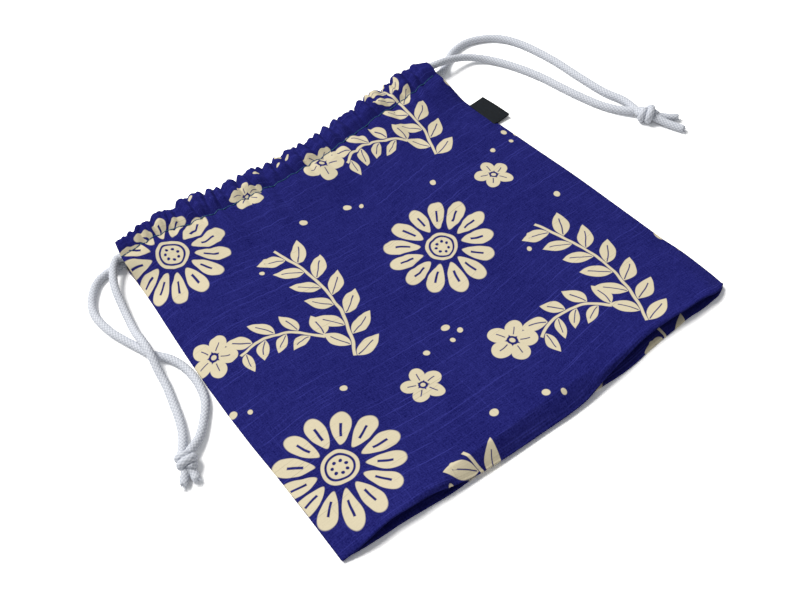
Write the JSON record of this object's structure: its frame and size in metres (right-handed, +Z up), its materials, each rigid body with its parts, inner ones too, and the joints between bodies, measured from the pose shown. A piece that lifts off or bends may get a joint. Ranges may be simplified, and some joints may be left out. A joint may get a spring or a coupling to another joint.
{
  "type": "furoshiki bag",
  "caption": "Flat drawstring bag of printed slub cotton with a folded-in base, channels at the mouth, a round cord knotted at each side and a blank side label, lying on its back panel.",
  "frame": {"origin": "middle of the underside of the back panel, halfway between the base fold and the mouth", "axes": "+X across the bag towards the labelled side seam, +Y from the base fold to the mouth, +Z up, out of the front panel"},
  "size_m": [0.3308, 0.2339, 0.0175],
  "materials": {
    "cotton": "matt printed slub cotton, deep blue with a cream print",
    "braid": "soft round braid, pale bluish grey",
    "tape": "matt woven tape, black"
  },
  "bodies": {
    "root": {"bag_cloth": "cotton", "left_cord": "braid", "left_knot": "braid", "right_cord": "braid", "right_knot": "braid", "side_label": "tape"}
  },
  "joints": []
}
